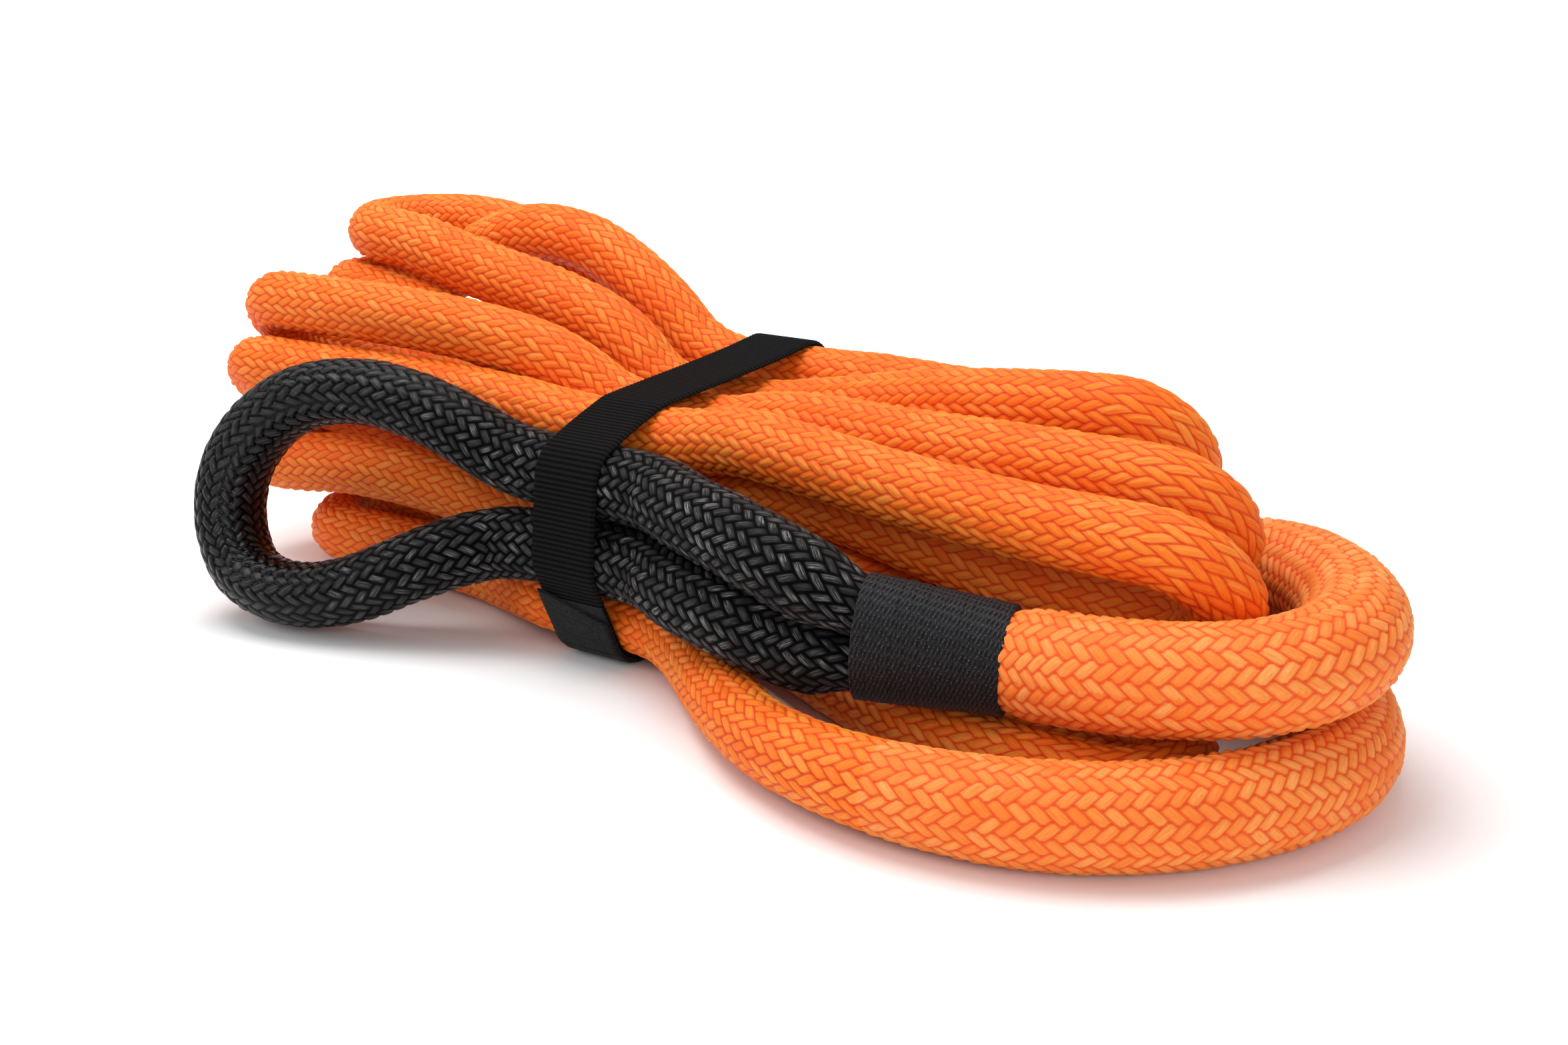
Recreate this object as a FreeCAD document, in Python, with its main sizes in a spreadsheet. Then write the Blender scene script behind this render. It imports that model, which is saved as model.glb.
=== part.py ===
import FreeCAD, Part
import math
import os

# A double-braid recovery rope put away as a hank: seven turns of 22 mm rope, bound at the waist by a
# hook-and-loop strap, with a coated and whipped eye at each end. Millimetres. +X runs along the hank
# from the eyes to the splices, +Y from its front to its back, +Z up; the floor is z = 0.

V = FreeCAD.Vector

# ---------------------------------------------------------------- driving dimensions
SIZES = {
    "rope_radius": 11.0,          # single rope
    "core_radius": 7.6,           # its core braid
    "front_splice_radius": 15.3,  # rope with its own tail buried in it
    "front_splice_core": 10.5,
    "rear_splice_radius": 14.25,
    "rear_splice_core": 9.9,
    "eye_radius": 12.0,           # coated leg of an eye
    "eye_core_radius": 8.0,
    "braid_gap": 0.1,             # between a cover and its core
    "whipping_thick": 1.3,
    "strap_width": 25.4,
    "webbing_thick": 1.3,
    "pile_thick": 0.7,
    "hook_thick": 0.5,
    "strap_clear": 0.3,           # between the strap and the ropes in it
    "centre_x": 14.079,           # middle of the whole part, measured from the right edge of the strap
    "centre_y": 52.58,
    "lowest": 0.1,
}

doc = FreeCAD.newDocument("recovery_rope")
sheet = doc.addObject("Spreadsheet::Sheet", "Sheet")
for row, (alias, value) in enumerate(SIZES.items(), start=1):
    sheet.set("A%d" % row, str(value))
    sheet.setAlias("A%d" % row, alias)
doc.recompute()


def size(alias):
    return float(sheet.get(alias))


# ---------------------------------------------------------------- the hank's layout
# Where each pass of the rope goes through the strap, as (y, z): rows a to d from the floor up.
SLOTS = {
    "a1": (20.5, 14.6), "a2": (46.8, 14.6), "a3": (71.0, 14.6),
    "b1": (34.4, 32.9), "b2": (58.8, 33.2), "b4": (103.0, 33.2),
    "c1": (46.4, 51.6), "c2": (70.8, 52.0), "c3": (93.2, 53.0), "c4": (116.2, 60.2),
    "d1": (35.6, 71.0), "d2": (59.0, 71.0), "d3": (82.3, 72.3), "d4": (106.2, 80.4),
}
STRAP_RIGHT = 8.0       # the passes are straight between these two places along x
STRAP_LEFT = -36.0
WAIST = -12.7           # middle of the strap

# The turns in the order that the rope makes them: name, side, slot in, slot out, x of the bend's
# middle, and (y, z) where the rope enters and leaves the bend.
TURNS = [
    ("left_1", -1, "b4", "c3", -84, (111, 34.5), (98, 62)),
    ("right_1", 1, "c3", "d3", 143, (84, 67), (63, 94.5)),
    ("left_2", -1, "d3", "c4", -170, (84, 118), (131, 118)),
    ("right_2", 1, "c4", "d4", 69, (119, 54), (104, 81)),
    ("left_3", -1, "d4", "c2", -182, (110, 94.5), (78.2, 96.2)),
    ("right_3", 1, "c2", "d2", 165, (63, 54.5), (40.5, 82)),
    ("left_4", -1, "d2", "c1", -184, (42, 97.5), (68, 76.2)),
    ("right_4", 1, "c1", "d1", 175.5, (40, 42), (18, 71)),
    ("left_5", -1, "d1", "b2", -183, (30, 75), (58.2, 56.25)),
    ("right_5", 1, "b2", "b1", 56, (78, 33.8), (48, 33.8)),
    ("left_6", -1, "b1", "a2", -177, (29, 40), (62, 33.5)),
    ("right_6", 1, "a2", "a3", 171.5, (-6, 11.3), (30, 11.7)),
    ("left_7", -1, "a3", "a1", -155, (88, 11.2), (42, 11.2)),
]
# Points from a bend towards the strap, where the rope goes round its neighbours on the way.
VIA = {
    ("left_1", "in"): [(-75, 111, 34.6), (-56, 107.8, 34.8)],
    ("left_1", "out"): [(-75, 98.4, 61.8), (-56, 97, 58)],
    ("left_2", "in"): [(-157, 84, 117), (-128, 82.5, 110), (-92, 82, 104), (-56, 82.5, 94)],
    ("left_2", "out"): [(-157, 134, 117), (-126, 137, 108), (-88, 136, 93), (-56, 127, 73)],
    ("left_3", "in"): [(-173, 110, 96), (-159, 110.5, 105), (-144, 111, 114.5), (-122, 112, 121),
                       (-92, 112, 118.5), (-60, 110, 101)],
    ("left_3", "out"): [(-173, 78.2, 95.8), (-140, 77.4, 90.4), (-100, 79, 78.6), (-62, 75, 65.6)],
    ("left_4", "in"): [(-175, 42, 97.7), (-140, 41.8, 98), (-92, 46, 95.6), (-60, 54.5, 88)],
    ("left_4", "out"): [(-175, 68, 76), (-140, 64.5, 72), (-100, 57.6, 66), (-62, 52.4, 58.4)],
    ("left_5", "in"): [(-174, 30, 75.1), (-140, 31, 75.2), (-98, 36, 74.6), (-60, 35.5, 73.6)],
    ("left_5", "out"): [(-174, 58.2, 55.95), (-140, 57.2, 50.4), (-98, 60.4, 42), (-60, 61.6, 36.6)],
    ("left_6", "in"): [(-168, 29, 40.6), (-140, 30.5, 44), (-98, 33.5, 42), (-60, 35, 36)],
    ("left_6", "out"): [(-168, 62.4, 33.4), (-140, 63, 26.8), (-98, 64.5, 19.6), (-60, 54.2, 14.4)],
    ("left_7", "in"): [(-144, 88, 11.2), (-112, 90, 11.3), (-78, 87, 11.8), (-54, 77, 13.2)],
    ("left_7", "out"): [(-144, 42, 11.2), (-116, 43, 11.2), (-86, 39, 11.6), (-56, 29, 13.2)],
    ("right_1", "in"): [(134, 84, 66.8), (104, 86.2, 64.8), (66, 91, 60.6), (34, 93.4, 55.5)],
    ("right_1", "out"): [(134, 63, 94.2), (104, 65, 91.5), (66, 73.8, 84.6), (34, 81.4, 77)],
    ("right_2", "in"): [(62, 118.4, 54.9), (42, 117.5, 56.4), (24, 116.6, 59.2)],
    ("right_2", "out"): [(62, 103.5, 81.2), (42, 104.6, 81.6), (24, 105.6, 81)],
    ("right_3", "in"): [(156, 63, 54.6), (120, 64, 55.4), (78, 68, 56), (44, 70.6, 57.6), (24, 70.8, 55.8)],
    ("right_3", "out"): [(156, 40.5, 82), (120, 42, 81.6), (78, 49.5, 79), (44, 56, 78), (24, 58.4, 75.6)],
    ("right_4", "in"): [(168, 40, 42.1), (136, 40, 44), (96, 42.4, 51), (60, 45, 57), (38, 46, 57),
                        (22, 46.4, 54.4)],
    ("right_4", "out"): [(168, 18, 71), (136, 18.6, 71.4), (96, 22, 73), (60, 28, 75), (38, 32, 76),
                         (22, 34.6, 74.6)],
    ("right_5", "in"): [(48, 77, 34), (36, 69.6, 34.3), (22, 60.4, 34)],
    ("right_5", "out"): [(48, 47.6, 34), (36, 42, 34.4), (22, 36, 34)],
    ("right_6", "in"): [(164, -6, 11.2), (130, -2, 11.2), (90, 12, 11.3), (52, 32, 11.3), (24, 45, 12.4)],
    ("right_6", "out"): [(164, 30, 11.5), (130, 32, 11.3), (90, 42, 11.3), (52, 57, 11.3), (24, 69.4, 12.4)],
}
# The rope leaves the front whipping, swings round the right end and comes back to slot b4; at the other
# end it leaves slot a1, swings round on the floor and comes back to the rear whipping.
FRONT_END = [(147.7, -4.3, 39.6), (183, -5.4, 42.2), (212.5, 8.5, 43.8), (225, 33, 45.6), (221, 57, 47.4),
             (207, 76, 48.5), (189, 91, 47), (164, 99, 43.5), (134, 101.5, 40.5), (88, 102.5, 35.8),
             (44, 103.2, 33.8), (STRAP_RIGHT, 103.0, 33.2)]
REAR_END = [(STRAP_RIGHT, 20.5, 14.6), (26, 12, 12.8), (44, -1.5, 11.3), (64, -18.5, 12), (88, -35.5, 13.4),
            (118, -46, 14.5), (150, -46, 14.5), (181, -36.5, 14.5), (206, -16.5, 14.5), (223, 12, 14.5),
            (227, 41, 14.5), (217, 70, 14.5), (198, 97, 14.7), (174, 114.5, 15.4), (150, 119.6, 16.6)]
FRONT_SPLICE_RUNS = 8   # runs of each end that the splice thickens
REAR_SPLICE_RUNS = 9

# The eyes: each leaves the strap by one leg and comes back by the other.
FRONT_LEG_TOP = [(84, -15.8, 56.3), (59.5, -8.4, 59.7), (30, 3.2, 60.8), (14, 13.2, 61.5), (-40, 13.4, 61.5)]
FRONT_LOOP = [(-57, 12.8, 66.5), (-80, 12, 74.5), (-106, 7, 80), (-130, -3, 76.5), (-147, -12, 61),
              (-152, -19, 39), (-142, -23, 17), (-120, -24, 12.3), (-97, -18, 15), (-76, -9, 25.5),
              (-57, 1.5, 34)]
FRONT_LEG_LOW = [(-40, 10.8, 37), (14, 10.8, 37), (31, -0.6, 35.6), (61, -10.6, 35.4), (84, -12.6, 31.7)]
REAR_LEG_TOP = [(84, 132, 33.6), (56, 132.6, 36.6), (14, 128.8, 39.8), (-40, 128.8, 39.8)]
REAR_LOOP = [(-62, 134, 38), (-92, 146, 33.5), (-120, 153, 28), (-148.6, 153.5, 21.5), (-157.7, 147, 18),
             (-161, 136.2, 15), (-157.7, 125.5, 13), (-148.6, 119, 12.3), (-116, 118.5, 12.3),
             (-88, 120.5, 12.6), (-62, 121, 14)]
REAR_LEG_LOW = [(-40, 119, 15.8), (14, 119, 15.8), (56, 117.6, 14.4), (84, 117, 13.6)]
HINGE_X = -28.0         # the eyes flex where they leave the strap

# The whippings: centre of each end, and the half-axes of the oval throat under the twine.
FRONT_WHIPPING = [(108.8, -16, 42), (147.7, -4.3, 39.6)]
REAR_WHIPPING = [(101, 122.8, 21.4), (150, 119.6, 16.6)]
THROAT_OVALS = [(24.5, 12.2), (16.6, 13.4), (13.75, 13.75)]

# Outermost ropes in the strap, as (y, z, which radius), in order round it from the lower front.
BELT = [("a1", "rope"), ((10.8, 37.0), "eye"), ((13.4, 61.5), "eye"), ("d1", "rope"), ("d4", "rope"),
        ((128.8, 39.8), "eye"), ((119.0, 15.8), "eye")]
# Where the strap's tail lies, as distances along the strap from the middle of the floor side,
# forwards and up.
PATCH_FROM, PATCH_TO = 14.0, 80.0
TAIL_FROM, HOOKS_TO, TAIL_TO = 20.0, 82.0, 84.0
TAIL_BEND = 58.0        # the tail peels back from here


# ---------------------------------------------------------------- route helpers
CORNER_SHARE = 0.45     # of the shorter run beside a corner, taken by the corner's arc
SLIGHT = 0.001          # an ellipse's long half-axis has to be the longer one, if only just


def bend(x, side, start, finish):
    """Four corner points of the half turn from (x, start) to (x, finish), out along side."""
    a, b = V(x, *start), V(x, *finish)
    middle = (a + b) * 0.5
    radius = (b - a).Length / 2
    across = (b - a).normalize()
    reach = radius / math.cos(math.pi / 8)
    corners = [math.pi / 8 + k * math.pi / 4 for k in range(4)]
    return [middle + V(side, 0, 0) * (reach * math.sin(t)) - across * (reach * math.cos(t)) for t in corners]


def turn_points(name, side, slot_in, slot_out, x, start, finish):
    strap_x = STRAP_RIGHT if side > 0 else STRAP_LEFT
    inward = [V(*p) for p in VIA[(name, "in")]][::-1]
    outward = [V(*p) for p in VIA[(name, "out")]]
    return ([V(strap_x, *SLOTS[slot_in])] + inward + bend(x, side, start, finish) + outward
            + [V(strap_x, *SLOTS[slot_out])])


def corner(before, point, after):
    """Radius of the arc at a point of a route, the arc's tangent length and its two directions."""
    d_in, d_out = point - before, after - point
    shorter = min(d_in.Length, d_out.Length)
    d_in.normalize()
    d_out.normalize()
    half_turn = d_in.getAngle(d_out) / 2
    tangent = CORNER_SHARE * shorter
    return tangent / math.tan(half_turn), tangent, d_in, d_out


lengths, tightest = {}, {}   # of each route, by its label


def path_wire(name, points):
    """Straight runs joined by tangent arcs."""
    edges, here, radii = [], points[0], []
    for before, point, after in zip(points, points[1:], points[2:]):
        radius, tangent, d_in, d_out = corner(before, point, after)
        radii.append(radius)
        start, end = point - d_in * tangent, point + d_out * tangent
        to_centre = (end - start).cross(d_in).cross(d_in).normalize() * -1
        centre = start + to_centre * radius
        if (centre - end).Length > radius + SLIGHT:
            centre = start - to_centre * radius
        middle = centre + (point - centre).normalize() * radius
        edges.append(Part.LineSegment(here, start).toShape())
        edges.append(Part.Arc(start, middle, end).toShape())
        here = end
    edges.append(Part.LineSegment(here, points[-1]).toShape())
    tightest[name] = min(radii)
    return Part.Wire(edges)


# ---------------------------------------------------------------- document helpers
sub_parts = []


def place(obj):
    """Moves a sub-part from the strap's frame to the middle of the part."""
    obj.setExpression("Placement.Base.x", "-Sheet.centre_x")
    obj.setExpression("Placement.Base.y", "-Sheet.centre_y")
    obj.setExpression("Placement.Base.z", "-Sheet.lowest")


def keep(obj, label):
    obj.Label = label
    place(obj)
    sub_parts.append(obj)
    return obj


def swept(name, path, radius):
    """A rod along a path object, its radius an expression on the sheet."""
    edge = path.Shape.Edges[0]
    direction = edge.tangentAt(edge.FirstParameter)
    section = doc.addObject("Part::Circle", name + "_section")
    section.setExpression("Radius", radius)
    section.Placement = FreeCAD.Placement(path.Shape.Edges[0].Vertexes[0].Point,
                                          FreeCAD.Rotation(V(0, 0, 1), direction))
    rod = doc.addObject("Part::Sweep", name)
    rod.Sections = [section]
    rod.Spine = (path, ["Edge%d" % (i + 1) for i in range(len(path.Shape.Edges))])
    rod.Solid = True
    rod.Frenet = False
    return rod


def braid(label, points, outer, core):
    """A cover braid and the core braid in it, as two sub-parts along one path."""
    path = doc.addObject("Part::Feature", label + "_path")
    path.Shape = path_wire(label, points)
    skin = swept(label + "_skin", path, "Sheet." + outer)
    bore = swept(label + "_bore", path, "Sheet.%s + Sheet.braid_gap" % core)
    cover = doc.addObject("Part::Cut", label + "_cover")
    cover.Base, cover.Tool = skin, bore
    keep(cover, label + "_cover")
    keep(swept(label + "_core", path, "Sheet." + core), label + "_core")
    lengths[label] = path.Shape.Length
    return path


def midpoint(a, b):
    return (a + b) * 0.5


def vectors(points):
    return [V(*p) for p in points]


# ---------------------------------------------------------------- the rope
def waist(slot):
    return V(WAIST, *SLOTS[slot])


front = vectors(FRONT_END)
split = midpoint(front[FRONT_SPLICE_RUNS - 1], front[FRONT_SPLICE_RUNS])
braid("front_splice", front[:FRONT_SPLICE_RUNS] + [split], "front_splice_radius", "front_splice_core")
braid("rope_start", [split] + front[FRONT_SPLICE_RUNS:] + [waist("b4")], "rope_radius", "core_radius")

for name, side, slot_in, slot_out, x, start, finish in TURNS:
    points = turn_points(name, side, slot_in, slot_out, x, start, finish)
    braid("rope_" + name, [waist(slot_in)] + points + [waist(slot_out)], "rope_radius", "core_radius")

rear = vectors(REAR_END)
split = midpoint(rear[-REAR_SPLICE_RUNS - 1], rear[-REAR_SPLICE_RUNS])
braid("rope_finish", [waist("a1")] + rear[:-REAR_SPLICE_RUNS] + [split], "rope_radius", "core_radius")
braid("rear_splice", [split] + rear[-REAR_SPLICE_RUNS:], "rear_splice_radius", "rear_splice_core")


# ---------------------------------------------------------------- the eyes
def on_run(a, b, x):
    """The point of the run from a to b at a given x."""
    return a + (b - a) * ((x - a.x) / (b.x - a.x))


for end, top, loop, low in (("front", FRONT_LEG_TOP, FRONT_LOOP, FRONT_LEG_LOW),
                            ("rear", REAR_LEG_TOP, REAR_LOOP, REAR_LEG_LOW)):
    top, loop, low = vectors(top), vectors(loop), vectors(low)
    leave = on_run(top[-2], top[-1], HINGE_X)
    back = on_run(low[0], low[1], HINGE_X)
    braid(end + "_eye_loop", [leave, top[-1]] + loop + [low[0], back], "eye_radius", "eye_core_radius")
    braid(end + "_eye_upper_leg", top[:-1] + [leave], "eye_radius", "eye_core_radius")
    braid(end + "_eye_lower_leg", [back] + low[1:], "eye_radius", "eye_core_radius")


# ---------------------------------------------------------------- throats and whippings
def oval(name, centre, along, tall, half_tall, half_wide):
    """An ellipse across a direction, its long axis towards tall."""
    ring = doc.addObject("Part::Ellipse", name)
    ring.MajorRadius, ring.MinorRadius = half_tall, half_wide
    side = along.cross(tall).normalize()
    upright = side.cross(along).normalize()
    ring.Placement = FreeCAD.Placement(centre, FreeCAD.Rotation(upright, side * -1, along, "ZXY"))
    return ring


def loft(name, sections):
    body = doc.addObject("Part::Loft", name)
    body.Sections, body.Solid, body.Ruled = sections, True, True
    return body


for end, whipping, legs in (("front", FRONT_WHIPPING, (FRONT_LEG_TOP[0], FRONT_LEG_LOW[-1])),
                            ("rear", REAR_WHIPPING, (REAR_LEG_TOP[0], REAR_LEG_LOW[-1]))):
    upper, lower = V(*legs[0]), V(*legs[1])
    left, right = vectors(whipping)
    along = (right - left).normalize()
    tall = (upper - lower).normalize()
    leg_tall, leg_wide = THROAT_OVALS[0]
    (mid_tall, mid_wide), (round_tall, round_wide) = THROAT_OVALS[1], THROAT_OVALS[2]
    start = midpoint(upper, lower)
    cone = loft(end + "_throat_cone", [
        oval(end + "_throat_wide", start, V(1, 0, 0), tall, leg_tall, leg_wide),
        oval(end + "_throat_neck", left, along, tall, mid_tall, mid_wide)])
    stem = loft(end + "_throat_stem", [
        oval(end + "_stem_left", left, along, tall, mid_tall, mid_wide),
        oval(end + "_stem_right", right, along, tall, round_tall + SLIGHT, round_wide)])
    throat = doc.addObject("Part::MultiFuse", end + "_throat")
    throat.Shapes = [cone, stem]
    keep(throat, end + "_throat")
    twine = size("whipping_thick")
    skin = loft(end + "_whipping_skin", [
        oval(end + "_skin_left", left, along, tall, mid_tall + twine, mid_wide + twine),
        oval(end + "_skin_right", right, along, tall, round_tall + twine + SLIGHT, round_wide + twine)])
    stem_copy = loft(end + "_whipping_bore", list(stem.Sections))
    winding = doc.addObject("Part::Cut", end + "_whipping")
    winding.Base, winding.Tool = skin, stem_copy
    keep(winding, end + "_whipping")


# ---------------------------------------------------------------- the strap
def belt_outline(offset):
    """Edges of a belt drawn round the outermost ropes, as a list of (kind, points), anticlockwise
    seen from +X, starting in the middle of the floor side."""
    circles = []
    for where, kind in BELT:
        y, z = SLOTS[where] if isinstance(where, str) else where
        circles.append((y, z, size(kind + "_radius") + size("strap_clear") + offset))
    tangents = []
    for (y1, z1, r1), (y2, z2, r2) in zip(circles, circles[1:] + circles[:1]):
        dy, dz = y2 - y1, z2 - z1
        far = math.hypot(dy, dz)
        lean = math.acos((r1 - r2) / far)
        heading = math.atan2(dz, dy) + lean
        ny, nz = math.cos(heading), math.sin(heading)
        tangents.append((V(0, y1 + r1 * ny, z1 + r1 * nz), V(0, y2 + r2 * ny, z2 + r2 * nz)))
    edges = []
    floor_start, floor_end = tangents[-1]
    floor_mid = midpoint(floor_start, floor_end)
    edges.append(Part.LineSegment(floor_mid, floor_end).toShape())
    for k, (start, end) in enumerate(tangents):
        y, z, r = circles[k]
        arrive = tangents[k - 1][1]
        centre = V(0, y, z)
        crown = centre + ((arrive - centre) + (start - centre)).normalize() * r
        edges.append(Part.Arc(arrive, crown, start).toShape())
        if k < len(tangents) - 1:
            edges.append(Part.LineSegment(start, end).toShape())
    edges.append(Part.LineSegment(floor_start, floor_mid).toShape())
    return edges


def cut_along(edges, start, finish):
    """The stretch of a chain of edges between two distances along it, as a wire."""
    kept, run = [], 0.0
    for edge in edges:
        low, high = max(start - run, 0.0), min(finish - run, edge.Length)
        if high - low > 1e-6:
            first = edge.getParameterByLength(low)
            last = edge.getParameterByLength(high)
            kept.append(edge.Curve.toShape(first, last))
        run += edge.Length
    return Part.Wire(kept)


def layer(name, label, inner, thick, start=None, finish=None):
    """A layer of the strap, from an inner offset outwards, all round or between two distances."""
    low, high = belt_outline(inner), belt_outline(inner + thick)
    outline = doc.addObject("Part::Feature", name + "_outline")
    if start is None:
        outline.Shape = Part.Face(Part.Wire(high)).cut(Part.Face(Part.Wire(low)))
    else:
        total_low = sum(e.Length for e in belt_outline(0))
        inside = cut_along(low, start * sum(e.Length for e in low) / total_low,
                           finish * sum(e.Length for e in low) / total_low)
        outside = cut_along(high, start * sum(e.Length for e in high) / total_low,
                            finish * sum(e.Length for e in high) / total_low)
        ends = [Part.LineSegment(inside.OrderedVertexes[i].Point, outside.OrderedVertexes[i].Point).toShape()
                for i in (0, -1)]
        outline.Shape = Part.Face(Part.Wire(Part.__sortEdges__(inside.Edges + outside.Edges + ends)))
    solid = doc.addObject("Part::Extrusion", name)
    solid.Base = outline
    solid.Dir = V(-1, 0, 0)
    solid.Solid = True
    solid.setExpression("LengthFwd", "Sheet.strap_width")
    return keep(solid, label)


web, pile, hook = size("webbing_thick"), size("pile_thick"), size("hook_thick")
tail = web + pile
layer("webbing", "strap_webbing", 0.0, web)
layer("patch", "strap_pile_patch", web, pile, PATCH_FROM, PATCH_TO)
layer("tail_root", "strap_tail_root", tail, hook + pile, TAIL_FROM, TAIL_BEND)
layer("tail_hooks", "strap_tail_hooks", tail, hook, TAIL_BEND, HOOKS_TO)
layer("tail_pile", "strap_tail_pile", tail + hook, pile, TAIL_BEND, TAIL_TO)

# ---------------------------------------------------------------- check and write
doc.recompute()
for obj in doc.Objects:
    if "Invalid" in obj.State or "Error" in obj.State:
        raise RuntimeError("%s did not build: %s" % (obj.Name, obj.State))
os.makedirs("parts", exist_ok=True)
for obj in sub_parts:
    shape = obj.Shape
    if shape.isNull() or not shape.isValid() or not shape.Solids:
        raise RuntimeError("%s is not a valid solid" % obj.Label)
    shape.exportStep("parts/%s.step" % obj.Label)

for label, length in lengths.items():
    area = sum(o.Shape.Volume for o in sub_parts if o.Label in (label + "_cover", label + "_core")) / length
    print("%-24s length %6.1f  section %6.1f mm2  tightest arc %5.1f" % (label, length, area, tightest[label]))
whole = FreeCAD.BoundBox()
for obj in sub_parts:
    whole.add(obj.Shape.BoundBox)
rope = sum(length for label, length in lengths.items() if "eye" not in label)
print("%d sub-parts, rope %.0f mm, box %s" % (len(sub_parts), rope, whole))
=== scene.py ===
import bpy
import math
import numpy as np
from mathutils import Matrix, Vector


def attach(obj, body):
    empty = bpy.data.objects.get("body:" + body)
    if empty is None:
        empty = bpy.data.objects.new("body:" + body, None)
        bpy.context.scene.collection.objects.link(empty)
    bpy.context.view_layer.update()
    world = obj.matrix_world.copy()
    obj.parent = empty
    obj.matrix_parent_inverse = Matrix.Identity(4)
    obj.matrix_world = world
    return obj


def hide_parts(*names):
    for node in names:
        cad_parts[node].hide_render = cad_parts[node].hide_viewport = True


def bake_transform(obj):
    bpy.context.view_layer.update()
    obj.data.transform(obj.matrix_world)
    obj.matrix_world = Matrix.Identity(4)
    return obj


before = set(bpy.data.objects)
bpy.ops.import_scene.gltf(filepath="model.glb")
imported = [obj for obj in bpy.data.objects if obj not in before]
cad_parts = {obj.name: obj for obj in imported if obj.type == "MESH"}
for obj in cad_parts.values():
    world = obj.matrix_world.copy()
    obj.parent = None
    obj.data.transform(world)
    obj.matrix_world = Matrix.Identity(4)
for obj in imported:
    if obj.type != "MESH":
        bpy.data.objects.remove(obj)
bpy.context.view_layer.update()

# ---------------------------------------------------------------- sizes, in metres
ROPE_RADIUS = 0.011
SPLICE_RADII = (0.0153, 0.01425)    # at the front and at the rear end of the rope
CORE_RADIUS = 0.0078
EYE_RADIUS = 0.0121
STRANDS = 20                    # in each direction, in every braid here
ROPE_LAY = 0.0058               # along the rope, from one strand of a direction to the next
SPLICE_LAY = 0.0041             # shorter where the buried tail swells the cover
EYE_LAY = 0.0052
SPLICES = ((0.213, 0.070), (0.268, 0.110))  # length of each splice's node, and of its taper
NECK = 0.018                    # length over which a splice narrows into its whipping
NECK_DEPTH = 0.75               # share of the splice's swelling that is gone there
RELIEF = 0.0008                 # from a strand's crown to the valley beside it
ROPE_IN_WHIPPING = 0.2          # share of each whipping that the rope's cover runs into
EYE_IN_WHIPPING = 0.4           # and the same for the eye's two legs
WHIPPING_THICK = 0.0013
WHIPPING_TURNS = 33

# ---------------------------------------------------------------- the rope's route
# Points in the strap's own frame: x from the strap's right edge, y from the front, z from the floor.
# The frame's origin lies at CENTRE in it.
CENTRE = Vector((0.014079, 0.05258, 0.0001))
SLOTS = {
    "a1": (0.0205, 0.0146), "a2": (0.0468, 0.0146), "a3": (0.071, 0.0146),
    "b1": (0.0344, 0.0329), "b2": (0.0588, 0.0332), "b4": (0.103, 0.0332),
    "c1": (0.0464, 0.0516), "c2": (0.0708, 0.052), "c3": (0.0932, 0.053), "c4": (0.1162, 0.0602),
    "d1": (0.0356, 0.071), "d2": (0.059, 0.071), "d3": (0.0823, 0.0723), "d4": (0.1062, 0.0804),
}
STRAP_RIGHT = 0.008       # the passes are straight between these two places along x
STRAP_LEFT = -0.036
WAIST = -0.0127           # middle of the strap

# The turns in the order that the rope makes them: name, side, slot in, slot out, x of the bend's
# middle, and (y, z) where the rope enters and leaves the bend.
TURNS = [
    ("left_1", -1, "b4", "c3", -0.084, (0.111, 0.0345), (0.098, 0.062)),
    ("right_1", 1, "c3", "d3", 0.143, (0.084, 0.067), (0.063, 0.0945)),
    ("left_2", -1, "d3", "c4", -0.17, (0.084, 0.118), (0.131, 0.118)),
    ("right_2", 1, "c4", "d4", 0.069, (0.119, 0.054), (0.104, 0.081)),
    ("left_3", -1, "d4", "c2", -0.182, (0.11, 0.0945), (0.0782, 0.0962)),
    ("right_3", 1, "c2", "d2", 0.165, (0.063, 0.0545), (0.0405, 0.082)),
    ("left_4", -1, "d2", "c1", -0.184, (0.042, 0.0975), (0.068, 0.0762)),
    ("right_4", 1, "c1", "d1", 0.1755, (0.04, 0.042), (0.018, 0.071)),
    ("left_5", -1, "d1", "b2", -0.183, (0.03, 0.075), (0.0582, 0.05625)),
    ("right_5", 1, "b2", "b1", 0.056, (0.078, 0.0338), (0.048, 0.0338)),
    ("left_6", -1, "b1", "a2", -0.177, (0.029, 0.04), (0.062, 0.0335)),
    ("right_6", 1, "a2", "a3", 0.1715, (-0.006, 0.0113), (0.03, 0.0117)),
    ("left_7", -1, "a3", "a1", -0.155, (0.088, 0.0112), (0.042, 0.0112)),
]
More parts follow.
